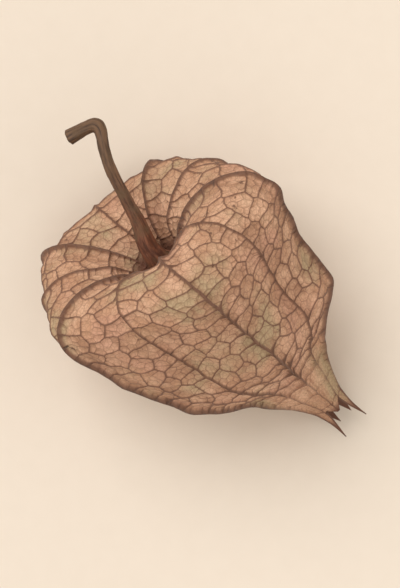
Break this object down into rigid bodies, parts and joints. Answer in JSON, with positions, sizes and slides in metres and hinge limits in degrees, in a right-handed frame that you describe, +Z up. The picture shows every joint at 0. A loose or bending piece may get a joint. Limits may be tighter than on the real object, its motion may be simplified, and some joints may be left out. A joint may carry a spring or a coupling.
{
  "type": "dried physalis fruit",
  "caption": "Dried physalis fruit as picked, lying on its side: a ribbed, net-veined lantern husk with a toothed tip, a berry inside it and a short hooked stalk.",
  "frame": {"origin": "middle of the footprint, on the surface that the fruit lies on", "axes": "+X towards the husk's tip, the longest extent; +Y across the fruit; +Z up"},
  "size_m": [0.0421, 0.0266, 0.0251],
  "materials": {
    "husk": "matte",
    "berry": "satin",
    "stalk": "matte"
  },
  "bodies": {
    "root": {"husk": "husk", "berry": "berry", "stalk": "stalk"}
  },
  "joints": []
}
